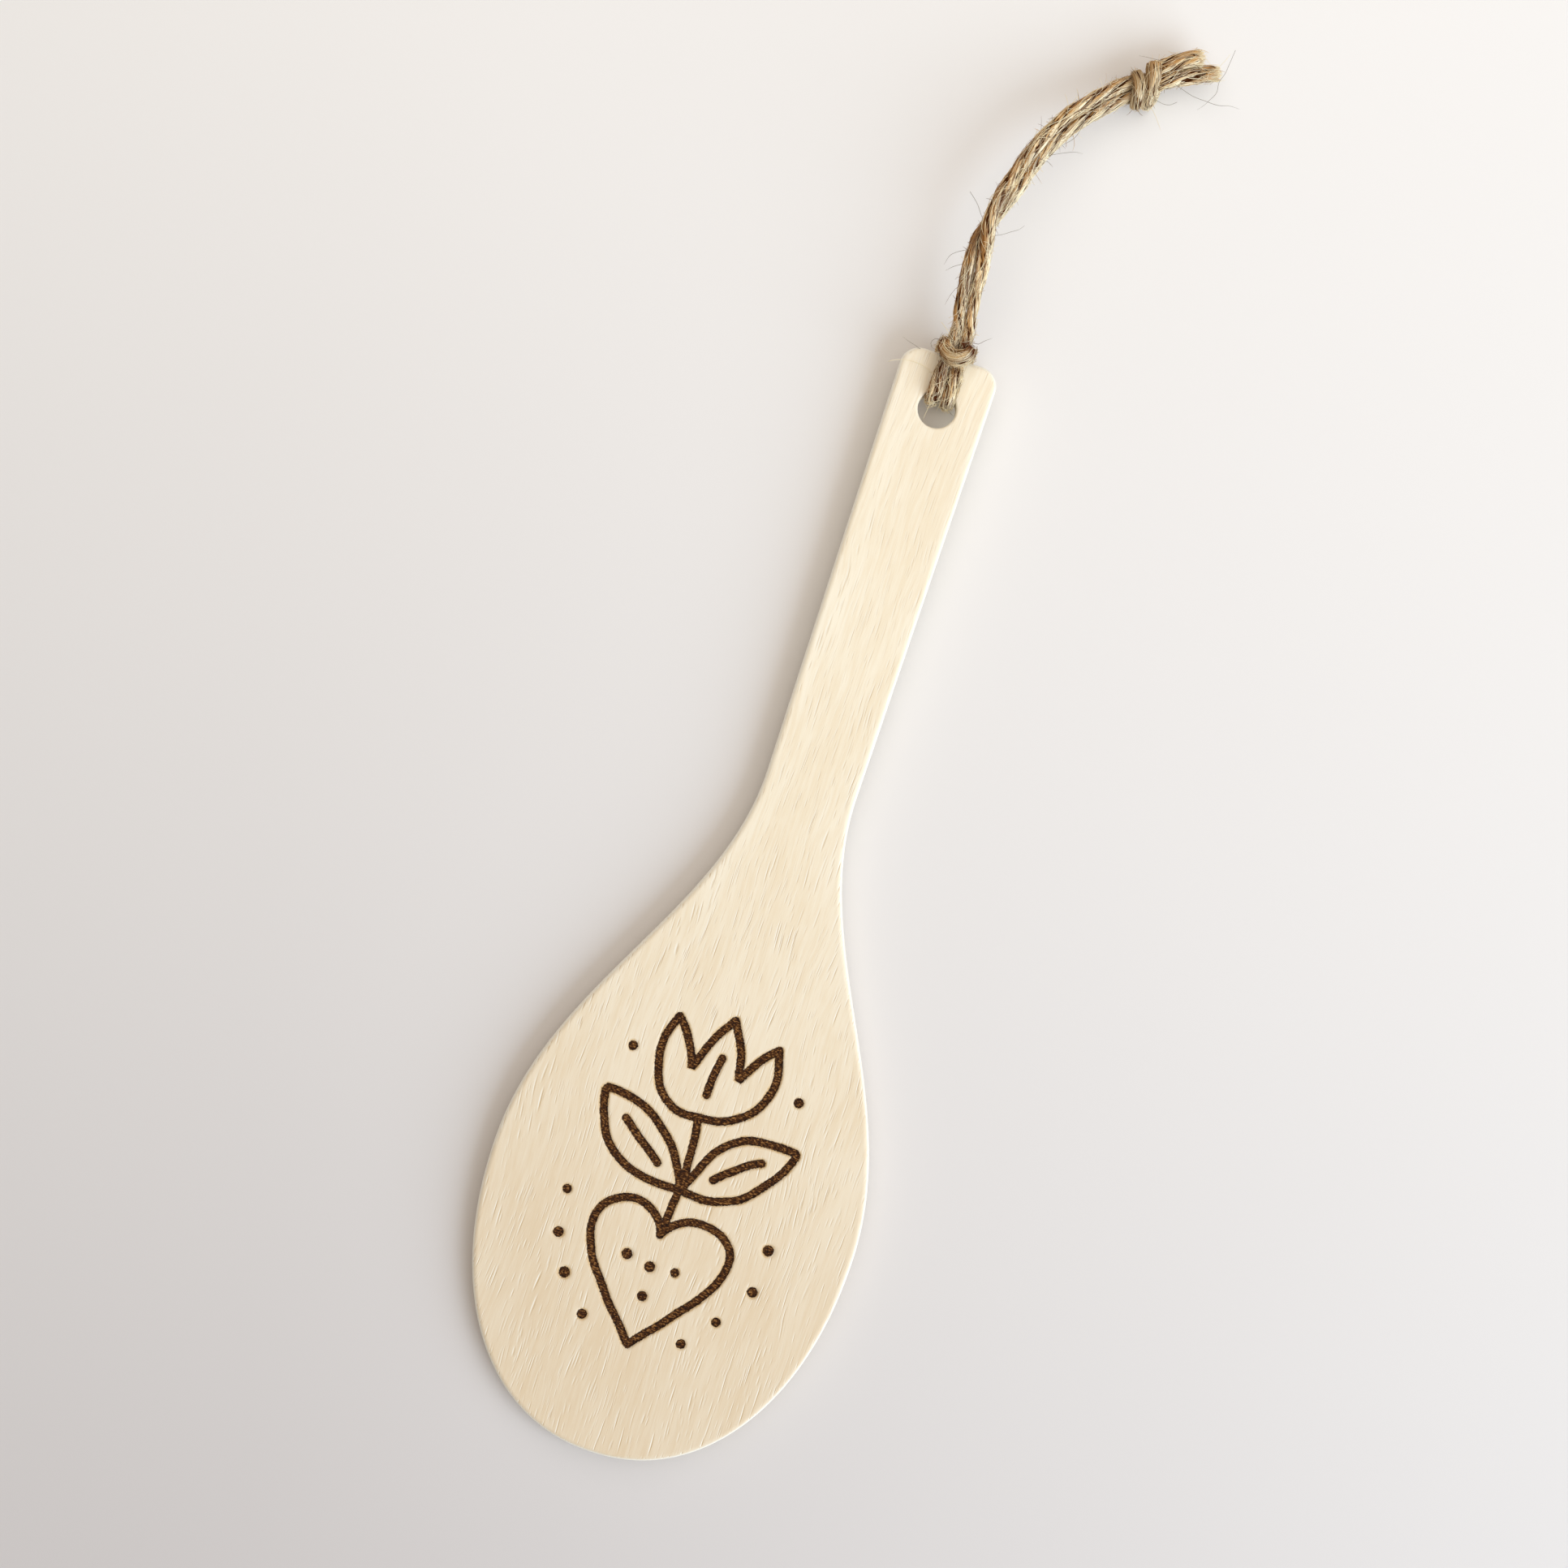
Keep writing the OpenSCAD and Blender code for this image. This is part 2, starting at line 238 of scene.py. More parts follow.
def spokes(a, side, up):
    """The directions at angles round a line, from two directions square to it."""
    a = np.asarray(a)[..., None]
    return np.cos(a) * side + np.sin(a) * up


def heading(p, i):
    """The direction of a route at its point i."""
    return unit(p[min(len(p) - 1, i + 1)] - p[max(0, i - 1)])


def slope(a, b, c):
    """The direction of a smooth curve at b, which leans towards the nearer of its neighbours."""
    u = norm(b - a)
    v = norm(c - b)
    if u == 0:
        return (c - b) / v
    if v == 0:
        return (b - a) / u
    return ((b - a) / u * v + (c - b) / v * u) / (u + v)


def smooth(points, steps):
    """A smooth curve through the points, with steps points to each stretch."""
    p = np.asarray(points, float)
    last = len(p) - 1
    made = []
    for i in range(last):
        b, c = p[i], p[i + 1]
        span = norm(c - b)
        start = slope(p[max(0, i - 1)], b, c) * span
        end = slope(b, c, p[min(last, i + 2)]) * span
        for t in np.arange(steps) / steps:
            leaving = b * (1 + 2 * t) * (1 - t) ** 2 + start * t * (1 - t) ** 2
            made.append(leaving + c * (3 - 2 * t) * t * t - end * (1 - t) * t * t)
    made.append(p[last])
    return np.array(made)


def lengths(points):
    """The distance along a line to each of its points."""
    steps = norm(np.diff(points[:, :3], axis=0), axis=1)
    return np.concatenate([[0], np.cumsum(steps)])


def resampled(points, step):
    """The same line with points step apart."""
    at = lengths(points)
    new = np.linspace(0, at[-1], max(2, round(at[-1] / step) + 1))
    return np.stack([np.interp(new, at, points[:, k]) for k in range(points.shape[1])], 1)


def added(name, data):
    """A new object in the scene."""
    made = bpy.data.objects.new(name, data)
    bpy.context.scene.collection.objects.link(made)
    return made


def new_mesh(name, points_mm, faces, smooth_shading=True):
    """A mesh object in the scene, from points in millimetres in the row frame."""
    mesh = bpy.data.meshes.new(name)
    mesh.from_pydata((np.asarray(points_mm) * MM).tolist(), [], faces)
    mesh.polygons.foreach_set("use_smooth", [smooth_shading] * len(mesh.polygons))
    mesh.update()
    return added(name, mesh)


def set_attribute(piece, name, values):
    """A number or a vector at each vertex, for the material to read."""
    values = np.asarray(values, np.float32)
    kind, field = ("FLOAT", "value") if values.ndim == 1 else ("FLOAT_VECTOR", "vector")
    attribute = piece.data.attributes.new(name, kind, "POINT")
    attribute.data.foreach_set(field, values.ravel())


# The burnt motif

MOTIF_Y = -114.5
LINE_W = 1.1
MOTIF_STEP = 0.5
BURN_DEPTH = 0.22
BURN_WALL = 0.26
DOT_R_SHARE = 1.25
DOT_SPREAD_SHARE = 0.1
# Distances from a line's middle at which the wood's face gets a row of points
BURN_ROWS = [0, 0.24, 0.4, 0.5, 0.6, 0.72, 1.0, 1.4]
BURN_STEP = 0.24
# Further than any distance that matters here
FAR_AWAY = 9.0
# How a hand-held burner wanders to the right and upwards: waves as height, rates along x and y, and start
WANDER_RIGHT = [(0.34, 0.22, 0.31, 0.8), (0.06, -0.6, 1.05, 0)]
WANDER_UP = [(0.3, 0.36, -0.19, 2.1), (0.06, 0.95, 0.7, 1.0)]


def bezier(a, b, c, d, steps=20):
    """A cubic curve from a to d that starts towards b and ends coming from c."""
    t = np.linspace(0, 1, steps + 1)[:, None]
    a, b, c, d = (np.array(p, float) for p in (a, b, c, d))
    return a * (1 - t) ** 3 + 3 * b * t * (1 - t) ** 2 + 3 * c * t * t * (1 - t) + d * t**3


def chained(*parts):
    """Curves that follow each other, as one line."""
    return np.concatenate([parts[0]] + [p[1:] for p in parts[1:]])


def curve(*points):
    """Cubic curves that follow each other, through an end, two pulls, an end, two pulls and so on."""
    return chained(*(bezier(*points[i : i + 4]) for i in range(0, len(points) - 1, 3)))


def waves(p, rows):
    """The height of a sum of waves at points of the motif."""
    x, y = p[:, 0], p[:, 1]
    return sum(high * np.sin(a * x + b * y + start) for high, a, b, start in rows)


def by_hand(p):
    """Points of the motif moved a little and smoothly, as a hand-held burner wanders."""
    return p + np.stack([waves(p, WANDER_RIGHT), waves(p, WANDER_UP)], 1)


def motif():
    """A tulip on a stem with two leaves over a heart, with dots: lines as (points, half width)."""
    half_w = LINE_W / 2
    heart = curve((0, -5.6), (1.2, -1.4), (9.2, -0.6), (9.2, -7.4), (9.2, -12.6), (3.4, -15.8), (0, -20.4))
    leaf = curve((0, 0.4), (3.2, 8.6), (7.4, 11), (13.2, 10.2), (12.4, 3.8), (6.8, 0), (0, 0.4))
    vein = curve((3.8, 3.2), (5.6, 4.8), (7.4, 6.4), (9.6, 7.6))
    cup = curve((0, 10.4), (6.2, 10), (8.8, 15), (6.8, 22))
    petal = curve((6.8, 22), (5, 20.6), (3.8, 19), (3, 16.6), (2.4, 19.4), (1.6, 22), (0, 24.2))
    sided = [heart, leaf, vein, cup, petal]
    stem = np.array([(0, -5.6), (0, 10.4)])
    stamen = np.array([(0, 13.8), (0, 19)])
    dots = [(0, -13.6), (0, -9.8)]
    for x, y in ((3.4, -9.4), (11.2, 16.4), (13.6, -3.4), (13.2, -9.2), (10.6, -14.4), (6.6, -18.6)):
        dots += [(x, y), (-x, y)]
    drawn = [*sided, *(p * [-1, 1] for p in sided), stem, stamen]
    lines = [(resampled(p, MOTIF_STEP), half_w) for p in drawn]
    for i, p in enumerate(dots):
        dot_r = half_w * DOT_R_SHARE * (1 + DOT_SPREAD_SHARE * math.sin(2.4 * i))
        lines.append((np.array([p, p], float), dot_r))
    return [(by_hand(p) + [0, MOTIF_Y], w) for p, w in lines]


def line_edge(points, lines):
    """How far each point is outside the nearest burnt line's edge; negative inside the line."""
    best = np.full(len(points), FAR_AWAY)
    for line, half_w in lines:
        for a, b in zip(line[:-1], line[1:], strict=True):
            d = b - a
            t = np.clip((points - a) @ d / max(d @ d, 1e-12), 0, 1)[:, None]
            best = np.minimum(best, norm(points - a - t * d, axis=1) - half_w)
    return best


def rows_beside(line):
    """Points in rows beside a line and round its ends, where the burnt groove needs them."""
    line = resampled(line, BURN_STEP) if lengths(line)[-1] > 0 else line[:1]
    made = []
    if len(line) > 1:
        run = unit(np.gradient(line, axis=0))
        across = np.stack([-run[:, 1], run[:, 0]], 1)
        made += [line + across * d * side for d in BURN_ROWS for side in (-1, 1)]
    for end in (line[0], line[-1]):
        for d in BURN_ROWS[1:]:
            a = np.linspace(0, math.tau, max(8, round(math.tau * d / BURN_STEP)), endpoint=False)
            made.append(end + d * np.stack([np.cos(a), np.sin(a)], 1))
    return np.concatenate(made)


# The wood

OUTLINE_STEP = 0.7
END_STEPS = 60
CORNER_STEPS = 14
EASE_STEPS = 6
HOLE_SIDES = 72
HOLE_RIM_R = HOLE_D / 2 + RIM_EASE
FACE_GRID = 3.0
# Points on the face that share a cell of this size become one
FACE_CELL = 0.11
# Insets of two rings of points that keep the flat face flat up to its eased edge
FLAT_RINGS = [0.12, 0.6]
# Points that agree to so many decimals are the same
SAME_DECIMALS = 5
CDT_EPSILON = 1e-7


def outline():
    """The spoon's outline from the bowl's tip up the right side to the handle and back down the left."""
    widest = BOWL_END_LEN - SPOON_LEN
    neck = widest + FLARE_LEN
    a = np.linspace(0, math.pi / 2, END_STEPS)
    power = 2 / BOWL_FULLNESS
    end = np.stack([BOWL_W / 2 * np.sin(a) ** power, widest - BOWL_END_LEN * np.cos(a) ** power], 1)
    flare = bezier(
        (BOWL_W / 2, widest),
        (BOWL_W / 2, widest + SHOULDER_PULL),
        (NECK_W / 2, neck - NECK_PULL),
        (NECK_W / 2, neck),
        END_STEPS,
    )
    b = np.linspace(0, math.pi / 2, CORNER_STEPS)
    corner = np.stack([HANDLE_W / 2 - CORNER_R * (1 - np.cos(b)), -CORNER_R * (1 - np.sin(b))], 1)
    bowl = resampled(chained(end, flare), OUTLINE_STEP)
    handle = resampled(np.array([flare[-1], corner[0]]), OUTLINE_STEP)
    side = np.concatenate([bowl[:-1], handle[:-1], corner])
    side = side[side[:, 0] > 1e-6]
    return np.concatenate([[(0, -SPOON_LEN)], side, side[::-1] * [-1, 1]])


def inset(points, d):
    """A closed outline drawn in by a distance."""
    run = unit(np.roll(points, -1, axis=0) - np.roll(points, 1, axis=0))
    return points + d * np.stack([-run[:, 1], run[:, 0]], 1)


def hole_ring(radius):
    """A circle round the middle of the hole."""
    a = np.linspace(0, math.tau, HOLE_SIDES, endpoint=False)
    return np.stack([radius * np.cos(a), radius * np.sin(a) - HOLE_DROP], 1)


def from_hole(points):
    """How far points are from the middle of the hole."""
    return norm(points + [0, HOLE_DROP], axis=1)


def face_points(ring, lines):
    """Loose points on a flat face between its outline and the hole, finer beside the burnt lines."""
    low, high = ring.min(0), ring.max(0)
    x, y = np.meshgrid(np.arange(low[0], high[0], FACE_GRID), np.arange(low[1], high[1], FACE_GRID))
    points = np.stack([x.ravel(), y.ravel()], 1)
    if lines:
        points = points[line_edge(points, lines) > BURN_ROWS[-1]]
        points = np.concatenate([*(rows_beside(line) for line, _ in lines), points])
    cells = np.unique(np.round(points / FACE_CELL), axis=0, return_index=True)[1]
    points = points[np.sort(cells)]
    away = np.full(len(points), FAR_AWAY)
    for p in ring:
        away = np.minimum(away, norm(points - p, axis=1))
    return points[(away > OUTLINE_STEP) & (from_hole(points) > HOLE_RIM_R + FLAT_RINGS[-1])]


def flat_face(ring, hole, extra):
    """Triangles of a face between an outline and a hole, with extra points on it: (points, triangles)."""
    n, m = len(ring), len(hole)
    points = np.concatenate([ring, hole, extra])
    edges = [(i, (i + 1) % n) for i in range(n)] + [(n + i, n + (i + 1) % m) for i in range(m)]
    out = delaunay_2d_cdt([Vector(p) for p in points], edges, [], 1, CDT_EPSILON)
    where = np.array([tuple(v) for v in out[0]])
    faces = [tuple(f) for f in out[2]]
    outside = from_hole(np.array([where[list(f)].mean(0) for f in faces])) > HOLE_RIM_R * 0.999
    return where, [f for f, seen in zip(faces, outside, strict=True) if seen]


def burnt_depth(points, lines):
    """How deep the burnt lines are at points of the face."""
    t = np.clip((line_edge(points, lines) + BURN_WALL / 2) / BURN_WALL, 0, 1)
    return BURN_DEPTH * (1 - t * t * (3 - 2 * t))


def wood_face(edge, z, lines):
    """One flat face of the wood at a height, with the lines burnt into it: (points, faces)."""
    ring = inset(edge, EDGE_EASE)
    hole = hole_ring(HOLE_RIM_R)
    rings = [inset(edge, EDGE_EASE + d) for d in FLAT_RINGS]
    rims = [hole_ring(HOLE_RIM_R + d) for d in FLAT_RINGS]
    where, faces = flat_face(ring, hole, np.concatenate([*rings, *rims, face_points(ring, lines)]))
    depth = burnt_depth(where, lines) if lines else np.zeros(len(where))
    return np.column_stack([where, z - depth]), faces


def ring_faces(rings, sides, start=0):
    """The quads between closed rings that begin at vertex start."""
    faces = []
    for i in range(rings - 1):
        o = start + i * sides
        u = o + sides
        faces += [(o + k, o + (k + 1) % sides, u + (k + 1) % sides, u + k) for k in range(sides)]
    return faces


def wall(rings):
    """The surface between flat rings of equally many points, given as (ring, height): (points, faces)."""
    points = [np.column_stack([ring, np.full(len(ring), z)]) for ring, z in rings]
    return np.concatenate(points), ring_faces(len(rings), len(points[0]))


def eased(size):
    """Insets and heights of the rings that round the back edge and then the face's edge."""
    a = np.linspace(0, math.pi / 2, EASE_STEPS + 1)
    back = np.stack([size * (1 - np.sin(a)), size * (1 - np.cos(a))], 1)
    front = np.stack([back[::-1, 0], THICKNESS - back[::-1, 1]], 1)
    return np.concatenate([back, front])


def joined(parts):
    """Parts as (points, faces) made one, in which points in the same place are the same point."""
    starts = np.cumsum([0] + [len(points) for points, _ in parts[:-1]])
    faces = [[i + start for i in f] for (_, part), start in zip(parts, starts, strict=True) for f in part]
    points = np.concatenate([points for points, _ in parts])
    same = np.unique(np.round(points, SAME_DECIMALS), axis=0, return_index=True, return_inverse=True)
    index = same[2].ravel()
    faces = [tuple(dict.fromkeys(int(index[i]) for i in f)) for f in faces]
    return points[same[1]], [f for f in faces if len(f) > 2]


def build_wood():
    """The spoon: eased edges, a rimmed hole and a motif burnt into its face."""
    lines = motif()
    edge = outline()
    back, back_faces = wood_face(edge, 0, [])
    inner = [(hole_ring(HOLE_D / 2 + d), z) for d, z in eased(RIM_EASE)]
    parts = [
        wood_face(edge, THICKNESS, lines),
        (back, [f[::-1] for f in back_faces]),
        wall([(inset(edge, d), z) for d, z in eased(EDGE_EASE)]),
        wall(inner[::-1]),
    ]
    points, faces = joined(parts)
    piece = new_mesh("spoon_wood", laid(points), faces)
    on_face = points[:, 2] > THICKNESS - BURN_DEPTH - 1e-6
    set_attribute(piece, "burn_edge", np.where(on_face, line_edge(points[:, :2], lines), FAR_AWAY))
    set_attribute(piece, "on_spoon", points)
    return piece


# The twine

RING_STEP = 0.2
ROUTE_STEPS = 6
PLIES = 3
PLY_SIDES = 22
PITCH = -14
# How far the plies' turn wanders, in radians, and the rings to a wave
TURN_WANDER = 0.25
TURN_RINGS = 30
# A ply's middle and its half sizes towards and across the twine's middle, over the twine's radius
PLY_OUT_SHARE = 0.46
PLY_DEEP_SHARE = 0.5
PLY_WIDE_SHARE = 0.61
# A ply's ridges and its swelling, over its radius, with the rings to a wave
RIDGES = [(0.07, 15), (0.035, 4)]
SWELL_SHARE = 0.05
SWELL_RINGS = 16
# Where a cut end is rounded off, and the share of its radius that is left at the cut
ROUNDED_END = 0.9
CUT_SHARE = 0.45
# A ply's own place in the pattern of its fibres
PLY_APART = 5
# Nothing reaches lower than this
TABLE_Z = 0.01
SEED = 7


# The twine at each of its rings: its middle, its radius, two directions square to it and the plies' turn
Lay = namedtuple("Lay", "middle radius side up turn")


def strand_points(side):
    """The route of one strand from the hitch's mouth to the knot: x, y, z and the radius."""
    mouth = laid([LOOP_ROUTE[0][0], MOUTH_REACH, THICKNESS + MOUTH_RISE])
    middle = np.array([mouth] + [[p[0], p[1] + END_Y, p[2]] for p in LOOP_ROUTE[1:]])
    turns = np.radians([p[3] for p in LOOP_ROUTE])
    shares = [p[4] for p in LOOP_ROUTE]
    made = []
    for i, (p, a, kept) in enumerate(zip(middle, turns, shares, strict=True)):
        t = heading(middle, i)
        level = unit(np.cross(t, UP))
        out = spokes(a, level, np.cross(level, t))
        made.append([*(p + side * PRESSED_X * kept * out), STRAND_R * kept])
    return made


def at_knot(points):
    """Steps along, sideways and up from the knot's middle, as steps in the row frame."""
    points = np.asarray(points, float)
    return points[..., :1] * KNOT_ALONG + points[..., 1:2] * KNOT_SIDE + points[..., 2:3] * UP


def knot_points(side):
    """The route of one strand through the overhand knot, beside its neighbour."""
    route = np.array(KNOT_ROUTE)
    places = KNOT_AT + at_knot(route[:, :3]) + side * at_knot(route[:, 3:6])
    radii = route[:, 6] if side > 0 else route[:, 7]
    return [[*p, r] for p, r in zip(places, radii, strict=True)]


def tail_points(side):
    """The route of a cut end beyond the knot."""
    route = KNOT_AT + at_knot(SHORT_ROUTE if side > 0 else LONG_ROUTE)
    return [[*p, TAIL_R] for p in route]


def twine_line():
    """The middle of the whole twine, from the short tail through the hitch to the long one, with its radius.

    The second value is where the strands leave the hitch, as two places in the line.
    """
    half = np.array(HITCH_HALF)
    half = np.column_stack([laid(half[:, :3]), half[:, 3]])
    hitch = np.concatenate([half, half[::-1] * [-1, 1, 1, 1]])
    right, left = (strand_points(side) + knot_points(side) + tail_points(side) for side in (1, -1))
    route = smooth(np.concatenate([right[::-1], hitch, left]), ROUTE_STEPS)
    cuts = [(len(right) - 1) * ROUTE_STEPS, (len(right) + len(hitch)) * ROUTE_STEPS]
    at = lengths(route)
    line = resampled(route, RING_STEP)
    new = lengths(line)
    return line, [int(np.abs(new - at[c]).argmin()) for c in cuts]


def carried(p):
    """Two directions square to a line at each point, carried along it without a twist."""
    t = unit(np.gradient(p, axis=0))
    side = np.zeros_like(p)
    side[0] = unit(np.cross(t[0], UP))
    for i in range(1, len(p)):
        side[i] = unit(side[i - 1] - t[i] * (side[i - 1] @ t[i]))
    return side, np.cross(t, side)


def wavering(rng, rows, columns, every):
    """Columns of random values that waver smoothly along the rows, with a wave to so many rows."""
    knots = rng.normal(size=(int(rows / every) + 4, columns))
    at = np.arange(rows) / every + 1
    i = at.astype(int)
    t = (at - i)[:, None]
    t = t * t * (3 - 2 * t)
    return knots[i] * (1 - t) + knots[i + 1] * t


def lay_twine(line):
    """The twine along its line, with the turn of its plies."""
    n = len(line)
    wander = wavering(np.random.default_rng(SEED), n, 1, TURN_RINGS)[:, 0]
    turn = math.tau * np.arange(n) * RING_STEP / PITCH + TURN_WANDER * wander
    return Lay(line[:, :3], line[:, 3], *carried(line[:, :3]), turn)


def oval(lean):
    """One over the square of a ply's reach from its own middle; lean 0 is away from the twine's middle."""
    return (np.cos(lean) / PLY_DEEP_SHARE) ** 2 + (np.sin(lean) / PLY_WIDE_SHARE) ** 2


def ply_rings(lay, ply):
    """The rings of one ply along the whole twine: (points, fibre places, how far out each point lies)."""
    rng = np.random.default_rng(SEED + ply)
    n = len(lay.middle)
    turn = lay.turn + math.tau * ply / PLIES
    s = np.arange(n) * RING_STEP
    left = np.clip(np.minimum(s, s[-1] - s) / ROUNDED_END, 0, 1)
    kept = CUT_SHARE + (1 - CUT_SHARE) * np.sqrt(1 - (1 - left) ** 2)
    r = lay.radius * kept
    theta = math.tau * np.arange(PLY_SIDES) / PLY_SIDES
    ridge = 1 + sum(share * wavering(rng, n, PLY_SIDES, every) for share, every in RIDGES)
    thick = 1 + SWELL_SHARE * wavering(rng, n, 1, SWELL_RINGS)
    radius = r[:, None] * oval(theta - turn[:, None]) ** -0.5 * ridge * thick
    out = (r * PLY_OUT_SHARE)[:, None] * spokes(turn, lay.side, lay.up)
    ring = spokes(theta, lay.side[:, None], lay.up[:, None])
    points = lay.middle[:, None] + out[:, None] + radius[..., None] * ring
    points[..., 2] = np.maximum(points[..., 2], TABLE_Z)
    places = [np.cos(theta) + ply * PLY_APART, np.sin(theta), s[:, None]]
    places = np.stack([np.broadcast_to(p, (n, PLY_SIDES)) for p in places], -1)
    depth = norm(points - lay.middle[:, None], axis=2) / r[:, None] + (1 - kept)[:, None]
    return points, places, depth


def set_tints(piece, points):
    """Tells the material where the twine is reddish and where it is duller, partly painted shade."""
    for name, spots in (("rust", RUST_SPOTS), ("dull_shade", DULL_SHADE_SPOTS)):
        tint = np.zeros(len(points))
        for x, y, z, reach, strength in spots:
            away = norm(points - [x, END_Y + y, z], axis=1) / reach
            tint = np.maximum(tint, strength * np.clip(1.5 - 1.5 * away, 0, 1))
        set_attribute(piece, name, tint)


def tube_faces(rings, sides, start):
    """The faces of a closed tube of rings that begin at vertex start."""
    last = start + (rings - 1) * sides
    caps = [tuple(range(start + sides - 1, start - 1, -1)), tuple(range(last, last + sides))]
    return [caps[0], *ring_faces(rings, sides, start), caps[1]]


def build_twine(name, plies, low, high):
    """The stretch of the twine between two of its rings, as plies laid round each other."""
    rings = high + 1 - low
    faces = []
    for i in range(PLIES):
        faces += tube_faces(rings, PLY_SIDES, i * rings * PLY_SIDES)
    points, places, depth = (
        np.concatenate([ply[k][low : high + 1].reshape(rings * PLY_SIDES, -1) for ply in plies])
        for k in range(3)
    )
    piece = new_mesh(name, points, faces)
    edges = np.zeros(2 * len(piece.data.edges), int)
    piece.data.edges.foreach_get("vertices", edges)
    ring = (edges.reshape(-1, 2) // PLY_SIDES) % rings
    capped = (ring[:, 0] == ring[:, 1]) & np.isin(ring[:, 0], [0, rings - 1])
    piece.data.edges.foreach_set("use_edge_sharp", capped)
    set_attribute(piece, "fibre", places)
    set_tints(piece, points)
    set_attribute(piece, "depth", depth[:, 0])
    return piece


# The fibres. A pair is the range from which a fibre's value is drawn.

# Kinds of fibre: how many to the millimetre, their radii and their shades
LAID = (6, (0.03, 0.055), (0, 1))
CROSSING = (4, (0.02, 0.035), (0.3, 1))
HITCH_CROSSING = (16, (0.02, 0.035), (0.3, 1))
STRAY = (2.6, (0.02, 0.036), (-0.3, 1))
# How many fray at a cut end, their radii and their shades
FRAYED = (150, (0.03, 0.055), (0.4, 1))

# Fibres that lie along the twine
LAID_LEN = (2.5, 9)
LAID_STEP = 2
LAID_LEAD = 4
LAID_TURN = -0.12
LAID_TURN_SPREAD = 0.17
LAID_SWAY = 0.12
LAID_SWAY_RATES = (0.5, 1.6)
LAID_LIFT = 0.03
LAID_WAVES = (0, 0.09)
LAID_WAVE_RATES = (0.3, 1.2)
# A laid fibre's ends sink into the twine over this length, at this slope
TUCK_LEN = 0.6
TUCK_SLOPE = 0.1
# Points on each side over which a laid fibre bridges a hollow
BRIDGE = 3

# Fine ones that cross it
CROSSING_HALF_LEN = (0.5, 1.5)
CROSSING_SLANTS = (0.2, 0.9)
CROSSING_BOW = 0.25
CROSSING_LIFT = 0.05
CROSSING_POINTS = 7

# Stray ones that stand off it
STRAY_SHORT = (0.5, 1.6)
STRAY_LONG = (1.6, 4)
STRAY_SHORT_SHARE = 0.88
STRAY_ROOT_SHARE = 0.85
STRAY_STEP = 0.45
STRAY_ROOT = 0.25
STRAY_LEAN = 1.6
STRAY_SPREAD = 0.25
STRAY_CURL = 0.3
STRAY_SAG = 0.12
STRAY_SHAKE = 0.12
STRAY_Z = 0.1

# The frayed ends
FRAY_R_SHARE = 0.9
FRAY_REACH = (0.02, 1.05)
FRAY_BACK = (6, 13)
FRAY_PAST = (-0.1, 0.8)
FRAY_ROUND = 0.9
FRAY_LONG = 0.09
FRAY_SPLAY = 0.26

# The long single ones, and the sides of every fibre
SEEN_R = 0.036
SEEN_STEP = 0.4
HAIR_SIDES = 3


def surface_out(turn, theta):
    """How far out the plies reach in a direction round the twine, over its radius."""
    best = np.zeros_like(theta)
    for ply in range(PLIES):
        lean = theta - turn - math.tau * ply / PLIES
        a = oval(lean)
        b = np.cos(lean) * PLY_OUT_SHARE / PLY_DEEP_SHARE**2
        d = b * b - a * ((PLY_OUT_SHARE / PLY_DEEP_SHARE) ** 2 - 1)
        best = np.maximum(best, np.where(d > 0, (b + np.sqrt(np.maximum(d, 0))) / a, 0))
    return best


def laid_fibre(rng, lay, low, high):
    """One fibre that lies along the twine's surface, bridging the hollow between the plies."""
    long = rng.uniform(*LAID_LEN)
    start = rng.uniform(low - LAID_LEAD, high)
    i = np.arange(max(low, int(start)), min(high, int(start + long / RING_STEP)) + 1, LAID_STEP)
    if len(i) < 5:
        return None
    s = (i - i[0]) * RING_STEP
    theta = rng.uniform(0, math.tau) + s * rng.normal(LAID_TURN, LAID_TURN_SPREAD)
    theta = theta + LAID_SWAY * np.sin(s * rng.uniform(*LAID_SWAY_RATES))
    out = surface_out(lay.turn[i], theta)
    wide = np.pad(out, BRIDGE, mode="edge")
    window = 2 * BRIDGE + 1
    out = np.maximum(out, np.convolve(wide, np.ones(window) / window, "valid"))
    wave = rng.uniform(*LAID_WAVES) * np.sin(s * rng.uniform(*LAID_WAVE_RATES) + rng.uniform(0, 6)) ** 2
    tucked = np.maximum(0, TUCK_LEN - np.minimum(s, s[-1] - s))
    reach = lay.radius[i] * out + LAID_LIFT + wave - TUCK_SLOPE * tucked
    return lay.middle[i] + reach[:, None] * spokes(theta, lay.side[i], lay.up[i])


def crossing_fibre(rng, lay, low, high):
    """A short fine fibre that crosses the lay of the plies just above them."""
    i = int(rng.integers(low, high))
    outward = spokes(rng.uniform(0, math.tau), lay.side[i], lay.up[i])
    along = heading(lay.middle, i)
    slant = rng.choice([-1, 1]) * rng.uniform(*CROSSING_SLANTS)
    way = along * math.cos(slant) + np.cross(outward, along) * math.sin(slant)
    half = rng.uniform(*CROSSING_HALF_LEN)
    bow = np.cross(outward, way) * rng.normal(0, CROSSING_BOW)
    t = np.linspace(-1, 1, CROSSING_POINTS)[:, None]
    # The fibre follows the twine's roundness
    drop = (half * math.sin(slant)) ** 2 / (4 * lay.radius[i])
    reach = lay.radius[i] + CROSSING_LIFT - drop * t * t
    return lay.middle[i] + outward * reach + way * half * t + bow * t * t


